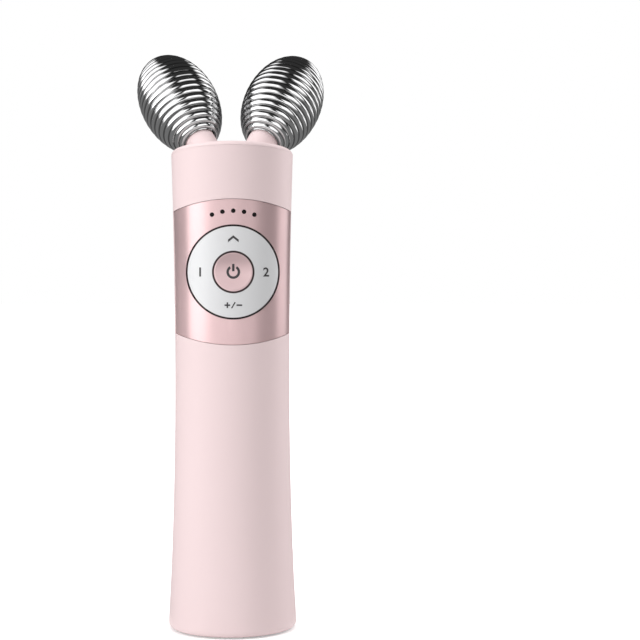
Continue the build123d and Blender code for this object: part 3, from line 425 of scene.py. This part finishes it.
def roller_profile():
    """Outline of a roller's shell: smooth tip, ribs, rolled mouth and inner wall."""
    mouth = acos(-MOUTH_DISTANCE / ROLLER_HALF_LENGTH)
    first_valley = mouth - RIB_COUNT * RIB_PITCH
    half_tip = TIP_STEPS // 2
    points = [ellipse_point(first_valley * step / TIP_STEPS, 0, TIP_BLUNTING) for step in range(half_tip + 1)]
    for step in range(1, half_tip + 1):
        share = step / half_tip
        points.append(ellipse_point(first_valley * (1 + share) / 2, RIB_DEPTH * share ** 2, TIP_BLUNTING))
    for rib in range(RIB_COUNT):
        for step in range(1, RIB_STEPS + 1):
            share = step / RIB_STEPS
            angle = first_valley + (rib + share) * RIB_PITCH
            points.append(ellipse_point(angle, rib_inset(share), TIP_BLUNTING))
    inner_mouth = acos(-MOUTH_DISTANCE / (ROLLER_HALF_LENGTH - ROLLER_WALL))
    points.append((MOUTH_RADIUS, -MOUTH_DISTANCE))
    points.append((MOUTH_RADIUS, -MOUTH_DISTANCE + 2 * ROLLER_WALL))
    for step in range(INNER_WALL_STEPS + 1):
        angle = (inner_mouth - INNER_WALL_STOP) * (1 - step / INNER_WALL_STEPS)
        points.append(ellipse_point(angle, ROLLER_WALL))
    return points


def mark_grooves(bm):
    """Stores how near each point is to the middle of a groove, from 0 on a crown to 1 in a groove."""
    groove = bm.verts.layers.float.new("groove")
    first_valley = acos(-MOUTH_DISTANCE / ROLLER_HALF_LENGTH) - RIB_COUNT * RIB_PITCH
    for vert in bm.verts:
        radius = sqrt(vert.co.x ** 2 + vert.co.y ** 2)
        half_length = ROLLER_HALF_LENGTH - (TIP_BLUNTING if vert.co.z > 0 else 0)
        angle = atan2(radius / ROLLER_RADIUS, vert.co.z / half_length)
        ribs = (angle - first_valley) / RIB_PITCH
        vert[groove] = abs(2 * (ribs % 1.0) - 1) if ribs > -0.5 else 0.0


def make_roller(side_name, side):
    """One ribbed chrome roller."""
    bm = spin_profile(roller_profile(), ROLLER_SEGMENTS)
    mark_grooves(bm)
    bmesh.ops.transform(bm, matrix=roller_matrix(side), verts=bm.verts)
    body = f"{side_name}_roller"
    piece = new_piece(f"ribbed_roller_{side_name}", bm, body, "chrome", sharp_angle=radians(60))
    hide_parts(f"roller_tip_{side_name}", f"roller_mouth_{side_name}")
    return piece


# ---------------------------------------------------------------- printed marks

def body_radius(height):
    """Outer radius of the body above its waist."""
    rise = (height - WAIST_HEIGHT) / (HEAD_HEIGHT - WAIST_HEIGHT)
    return WAIST_RADIUS + (TOP_RADIUS - WAIST_RADIUS) * rise ** 2


def wrap_on_ring(bm):
    """Lays flat marks, drawn in X and Z with their lift in Y, on the rocker ring."""
    for vert in bm.verts:
        radius = body_radius(vert.co.z) - RING_SINK - vert.co.y
        vert.co.y = -sqrt(radius ** 2 - vert.co.x ** 2)


def wrap_on_dish(bm):
    """Lays flat marks on the button's dish."""
    face = body_radius(CONTROL_HEIGHT) - RING_SINK
    depth = DISH_RIM_RADIUS ** 2 * (1 / face + 1 / DISH_SIDE_RADIUS) / 2
    upright = DISH_RIM_RADIUS ** 2 / depth / 2
    axis = depth - face - DISH_SIDE_RADIUS
    for vert in bm.verts:
        reach = DISH_SIDE_RADIUS - upright + sqrt(upright ** 2 - (vert.co.z - CONTROL_HEIGHT) ** 2)
        vert.co.y = axis + sqrt(reach ** 2 - vert.co.x ** 2) + vert.co.y


def text_mark(text, height, x, z, turn=0.0):
    """bmesh of a character string, centred on x and z in the plane of the control face."""
    curve = bpy.data.curves.new("mark", "FONT")
    curve.body = text
    curve.align_x = "CENTER"
    curve.align_y = "CENTER"
    curve.size = height / DIGIT_SHARE
    curve.resolution_u = 6
    curve.offset = NUMBER_BOLDNESS * curve.size
    holder = bpy.data.objects.new("mark", curve)
    mesh = bpy.data.meshes.new_from_object(holder)
    bm = bmesh.new()
    bm.from_mesh(mesh)
    bpy.data.objects.remove(holder)
    bpy.data.curves.remove(curve)
    bpy.data.meshes.remove(mesh)
    low = Vector([min(v.co[i] for v in bm.verts) for i in range(3)])
    high = Vector([max(v.co[i] for v in bm.verts) for i in range(3)])
    bmesh.ops.translate(bm, vec=-(low + high) / 2, verts=bm.verts)
    bmesh.ops.rotate(bm, cent=(0, 0, 0), matrix=Matrix.Rotation(turn, 3, "Z"), verts=bm.verts)
    bmesh.ops.rotate(bm, cent=(0, 0, 0), matrix=Matrix.Rotation(pi / 2, 3, "X"), verts=bm.verts)
    bmesh.ops.translate(bm, vec=(x, 0, z), verts=bm.verts)
    return bm


def thicken(bm):
    """Gives a flat mark its thickness, towards the front."""
    bmesh.ops.remove_doubles(bm, verts=bm.verts, dist=0.001 * MM)
    faces = list(bm.faces)
    made = bmesh.ops.extrude_face_region(bm, geom=faces)
    for vert in (item for item in made["geom"] if isinstance(item, bmesh.types.BMVert)):
        vert.co.y -= PRINT_THICKNESS
    bmesh.ops.translate(bm, vec=(0, -PRINT_LIFT, 0), verts=bm.verts)
    bmesh.ops.recalc_face_normals(bm, faces=bm.faces)


def make_text_mark(name, text, height, x, z, turn=0.0):
    """A character string printed on the rocker ring."""
    bm = text_mark(text, height, x, z, turn)
    thicken(bm)
    wrap_on_ring(bm)
    return new_piece(name, bm, "ring", "silver_ring", material="print")


def add_bar(bm, length, stroke, x, z, turn=0.0):
    """Adds a flat bar in the plane of the control face, turned from level."""
    verts = bmesh.ops.create_grid(bm, x_segments=6, y_segments=2, size=0.5)["verts"]
    bmesh.ops.scale(bm, vec=(length, stroke, 1), verts=verts)
    bmesh.ops.rotate(bm, cent=(0, 0, 0), matrix=Matrix.Rotation(pi / 2, 3, "X"), verts=verts)
    bmesh.ops.rotate(bm, cent=(0, 0, 0), matrix=Matrix.Rotation(-turn, 3, "Y"), verts=verts)
    bmesh.ops.translate(bm, vec=(x, 0, z), verts=verts)


def make_arrow_mark():
    """Chevron that points up, at the top of the ring."""
    z = CONTROL_HEIGHT + MARK_OFFSET
    rise = ARROW_HALF_WIDTH * ARROW_PITCH
    bm = bmesh.new()
    outline = [(-ARROW_HALF_WIDTH, -rise / 2), (0, rise / 2), (ARROW_HALF_WIDTH, -rise / 2)]
    upper = [bm.verts.new((x, 0, z + height + ARROW_STROKE / 2)) for x, height in outline]
    lower = [bm.verts.new((x, 0, z + height - ARROW_STROKE / 2)) for x, height in outline]
    for start in (0, 1):
        bm.faces.new((upper[start], upper[start + 1], lower[start + 1], lower[start]))
    bmesh.ops.subdivide_edges(bm, edges=bm.edges, cuts=3, use_grid_fill=True)
    thicken(bm)
    wrap_on_ring(bm)
    return new_piece("arrow_mark", bm, "ring", "silver_ring", material="print")


def make_level_marks():
    """Plus, stroke and minus at the bottom of the ring."""
    z = CONTROL_HEIGHT - MARK_OFFSET
    half = SIGN_WIDTH / 2
    stub = (SIGN_WIDTH - SIGN_STROKE) / 2
    bm = bmesh.new()
    add_bar(bm, SIGN_WIDTH, SIGN_STROKE, -SIGN_SPACING, z)
    for side in (1, -1):
        add_bar(bm, stub, SIGN_STROKE, -SIGN_SPACING, z + side * (half - stub / 2), pi / 2)
    add_bar(bm, SLASH_LENGTH, SLASH_STROKE, 0, z, SLASH_TURN)
    add_bar(bm, SIGN_WIDTH, SIGN_STROKE, SIGN_SPACING, z)
    thicken(bm)
    wrap_on_ring(bm)
    return new_piece("level_marks", bm, "ring", "silver_ring", material="print")


def arc_strip(radius, stroke, start, end, steps, z):
    """Flat arc in the plane of the control face."""
    bm = bmesh.new()
    inner = bm.verts.new((radius - stroke / 2, 0, 0))
    outer = bm.verts.new((radius + stroke / 2, 0, 0))
    edge = bm.edges.new((inner, outer))
    bmesh.ops.rotate(bm, cent=(0, 0, 0), matrix=Matrix.Rotation(-start, 3, "Y"), verts=bm.verts)
    bmesh.ops.spin(bm, geom=[inner, outer, edge], cent=(0, 0, 0), axis=(0, -1, 0), dvec=(0, 0, 0),
                   angle=end - start, steps=steps, use_merge=False)
    bmesh.ops.translate(bm, vec=(0, 0, z), verts=bm.verts)
    return bm


def make_power_mark():
    """Broken ring with an upright bar, in the button's dish."""
    start = pi / 2 + POWER_GAP
    end = pi / 2 + 2 * pi - POWER_GAP
    bm = arc_strip(POWER_RADIUS, POWER_STROKE, start, end, POWER_STEPS, CONTROL_HEIGHT)
    add_bar(bm, POWER_BAR_LENGTH, POWER_STROKE, 0, CONTROL_HEIGHT + POWER_BAR_RISE, pi / 2)
    thicken(bm)
    wrap_on_dish(bm)
    return new_piece("power_mark", bm, "button", "rose_button", material="print")


def make_marks():
    """All printed marks."""
    make_arrow_mark()
    make_text_mark("number_one", "1", NUMBER_HEIGHT, -MARK_OFFSET, CONTROL_HEIGHT)
    make_text_mark("number_two", "2", NUMBER_HEIGHT, MARK_OFFSET, CONTROL_HEIGHT)
    make_level_marks()
    make_power_mark()


# ---------------------------------------------------------------- stage

CAMERA_TURN = radians(-1.0)
CAMERA_DISTANCE = 0.600
CAMERA_HEIGHT = CONTROL_HEIGHT
FRAME_PIXELS = 640
FOCAL_PIXELS = 1765.0
AXIS_PIXEL = (232.3, 272.0)      # where the body's axis at the camera's height is seen
SENSOR_WIDTH = 36.0

FLOOR_RADIUS = 6.0
FLOOR_GLOW = (0.024, 0.16, 0.35, 1.0)    # radii between which the floor's glow grows, and its two levels
DOME_RADIUS = 3.0
APRON_INNER_RADIUS = 0.03
APRON_LIFT = 0.5 * MM
APRON_LEVEL = 0.165
AMBIENT = 0.375

# name, azimuth and elevation in degrees, distance, width, height and watts
LAMPS = (
    ("key_softbox", -60, 18, 1.2, 0.7, 1.1, 8.1),
    ("rim_softbox", 118, 15, 1.2, 0.5, 1.1, 7.5),
    ("top_softbox", 0, 82, 1.3, 0.9, 0.9, 9.9),
)
LAMP_AIM = Vector((0, 0, 0.1))


def make_camera():
    """Camera in front of the control face, aimed so that the body stands left of the middle."""
    back = Vector((sin(CAMERA_TURN), -cos(CAMERA_TURN), 0))
    middle = FRAME_PIXELS / 2
    pitch = atan((middle - AXIS_PIXEL[1]) / FOCAL_PIXELS)
    yaw = atan((middle - AXIS_PIXEL[0]) * cos(pitch) / FOCAL_PIXELS) - CAMERA_TURN
    forward = Vector((sin(yaw) * cos(pitch), cos(yaw) * cos(pitch), -sin(pitch)))
    data = bpy.data.cameras.new("camera")
    data.sensor_width = SENSOR_WIDTH
    data.lens = FOCAL_PIXELS / FRAME_PIXELS * SENSOR_WIDTH
    data.clip_start = 0.01
    camera = bpy.data.objects.new("camera", data)
    camera.location = back * CAMERA_DISTANCE + Vector((0, 0, CAMERA_HEIGHT))
    camera.rotation_mode = "QUATERNION"
    camera.rotation_quaternion = forward.to_track_quat("-Z", "Y")
    bpy.context.scene.collection.objects.link(camera)
    bpy.context.scene.camera = camera


def seen_directly(tree):
    """1 on rays that come from the camera, a mirror or glass, else 0."""
    path = add_node(tree, "ShaderNodeLightPath")
    both = math_node(tree, "MAXIMUM", path.outputs["Is Camera Ray"], path.outputs["Is Glossy Ray"])
    return math_node(tree, "MAXIMUM", both, path.outputs["Is Transmission Ray"])


def make_world(ambient):
    """White where it is seen, and a soft even light elsewhere."""
    world = bpy.data.worlds.new("studio")
    world.use_nodes = True
    tree = world.node_tree
    background = tree.nodes["Background"]
    background.inputs["Color"].default_value = (1, 1, 1, 1)
    tree.links.new(ramp(tree, seen_directly(tree), 0, 1, ambient, 1.0), background.inputs["Strength"])
    bpy.context.scene.world = world


def stage_object(name, bm, material):
    """A mesh that isn't part of the object."""
    mesh = bpy.data.meshes.new(name)
    bm.to_mesh(mesh)
    bm.free()
    mesh.shade_smooth()
    mesh.materials.append(material)
    obj = bpy.data.objects.new(name, mesh)
    bpy.context.scene.collection.objects.link(obj)
    return obj


def only_reflected(obj):
    """Shows a card to mirror rays alone."""
    obj.visible_camera = False
    obj.visible_diffuse = False
    obj.visible_transmission = False
    obj.visible_volume_scatter = False
    obj.visible_shadow = False


def make_floor():
    """Pale floor that melts into the white background and keeps the object's shadow."""
    material, tree, shader = new_material("pale_floor")
    shader.inputs["Base Color"].default_value = (0.85, 0.84, 0.84, 1)
    shader.inputs["Roughness"].default_value = 0.7
    shader.inputs["Specular IOR Level"].default_value = 0.0
    place = add_node(tree, "ShaderNodeTexCoord")
    distance = add_node(tree, "ShaderNodeVectorMath", operation="LENGTH")
    tree.links.new(place.outputs["Object"], distance.inputs[0])
    glow = ramp(tree, distance.outputs["Value"], *FLOOR_GLOW)
    shader.inputs["Emission Color"].default_value = (1, 1, 1, 1)
    tree.links.new(math_node(tree, "MULTIPLY", glow, seen_directly(tree)), shader.inputs["Emission Strength"])
    bm = bmesh.new()
    bmesh.ops.create_circle(bm, cap_ends=True, radius=FLOOR_RADIUS, segments=96)
    floor = stage_object("floor", bm, material)
    material.cycles.emission_sampling = "NONE"
    return floor


def emission_material(name):
    """A bare emission material and the socket of its strength."""
    material = bpy.data.materials.new(name)
    material.use_nodes = True
    tree = material.node_tree
    tree.nodes.clear()
    glow = add_node(tree, "ShaderNodeEmission")
    out = add_node(tree, "ShaderNodeOutputMaterial")
    tree.links.new(glow.outputs["Emission"], out.inputs["Surface"])
    material.cycles.emission_sampling = "NONE"
    return material, tree, glow.inputs["Strength"]


def band(tree, value, low, high, low_soft, high_soft):
    """1 between two limits and 0 outside, with soft edges of their own."""
    rise = ramp(tree, value, low - low_soft, low + low_soft)
    fall = ramp(tree, value, high - high_soft, high + high_soft, 1.0, 0.0)
    return math_node(tree, "MULTIPLY", rise, fall)


# the studio's light panels: azimuths and elevations of their edges in degrees, softness and strength
DOME_BOXES = (
    (-123, -14, 14, 61, 6, 13, 1.35),       # wide one on the left
    (-134, -98, -14, 16, 5, 8, 0.22),       # its dimmer lower corner
    (-99, -46, -24, 24, 9, 22, 2.85),       # its bright middle
    (13, 68, 12, 47, 6, 5, 1.35),           # in front, to the right
    (98, 140, 15, 47, 4, 5, 1.35),          # on the right
    (101, 140, -14, 15, 6, 5, 1.2),         # its lower part
    (-60, 20, -34, 12, 20, 16, 1.5),        # low in front
    (10, 50, -34, 12, 14, 12, 1.0),         # low in front, to the right
    (50, 106, -16, 12, 8, 8, 0.14),         # low on the right
    (-178, -130, -16, 9, 2, 6, 0.12),       # low, behind on the left
)
DOME_DARK = 0.03
DOME_LEVEL_SOFT = 6              # degrees of softness on the panels' upper and lower edges


def make_dome():
    """Studio that the metal mirrors: light panels on both sides, black flags in front, a dark ceiling."""
    material, tree, strength = emission_material("studio_dome")
    place = add_node(tree, "ShaderNodeTexCoord")
    unit = add_node(tree, "ShaderNodeVectorMath", operation="NORMALIZE")
    tree.links.new(place.outputs["Object"], unit.inputs[0])
    parts = add_node(tree, "ShaderNodeSeparateXYZ")
    tree.links.new(unit.outputs["Vector"], parts.inputs[0])
    backward = math_node(tree, "MULTIPLY", parts.outputs["Y"], -1.0)
    azimuth = math_node(tree, "DEGREES", math_node(tree, "ARCTAN2", parts.outputs["X"], backward))
    elevation = math_node(tree, "DEGREES", math_node(tree, "ARCSINE", parts.outputs["Z"]))
    light = DOME_DARK
    for left, right, low, high, left_soft, right_soft, level in DOME_BOXES:
        across = band(tree, azimuth, left, right, left_soft, right_soft)
        upright = band(tree, elevation, low, high, DOME_LEVEL_SOFT, DOME_LEVEL_SOFT)
        box = math_node(tree, "MULTIPLY", math_node(tree, "MULTIPLY", across, upright), level)
        light = math_node(tree, "MAXIMUM", box, light)
    tree.links.new(light, strength)

    bm = bmesh.new()
    bmesh.ops.create_uvsphere(bm, u_segments=64, v_segments=32, radius=DOME_RADIUS)
    bmesh.ops.reverse_faces(bm, faces=bm.faces)
    dome = stage_object("studio_dome", bm, material)
    only_reflected(dome)
    return dome


def make_apron():
    """Grey card on the floor that only the metal mirrors."""
    material, tree, strength = emission_material("grey_card")
    strength.default_value = APRON_LEVEL
    bm = bmesh.new()
    inner = bm.verts.new((APRON_INNER_RADIUS, 0, APRON_LIFT))
    outer = bm.verts.new((DOME_RADIUS, 0, APRON_LIFT))
    edge = bm.edges.new((inner, outer))
    bmesh.ops.spin(bm, geom=[inner, outer, edge], cent=(0, 0, 0), axis=(0, 0, 1), dvec=(0, 0, 0), angle=2 * pi,
                   steps=96, use_merge=True)
    apron = stage_object("grey_card", bm, material)
    only_reflected(apron)
    return apron


def make_softbox(name, azimuth, elevation, distance, width, height, watts):
    """Area lamp aimed at the middle of the body; azimuth 0 is in front, positive to the right."""
    data = bpy.data.lights.new(name, "AREA")
    data.shape = "RECTANGLE"
    data.size = width
    data.size_y = height
    data.energy = watts
    lamp = bpy.data.objects.new(name, data)
    a, e = radians(azimuth), radians(elevation)
    away = Vector((sin(a) * cos(e), -cos(a) * cos(e), sin(e)))
    lamp.location = away * distance + LAMP_AIM
    lamp.rotation_mode = "QUATERNION"
    lamp.rotation_quaternion = (-away).to_track_quat("-Z", "Y")
    lamp.visible_glossy = False
    bpy.context.scene.collection.objects.link(lamp)
    return lamp


def make_stage():
    """Floor, background, cards, lamps and camera."""
    make_world(AMBIENT)
    make_floor()
    make_dome()
    make_apron()
    for lamp in LAMPS:
        make_softbox(*lamp)
    make_camera()


# ---------------------------------------------------------------- assembly

finish_nodes()
for side_name, side in (("left", -1), ("right", 1)):
    make_roller(side_name, side)
make_marks()
make_stage()
bpy.context.scene.view_settings.view_transform = "Standard"
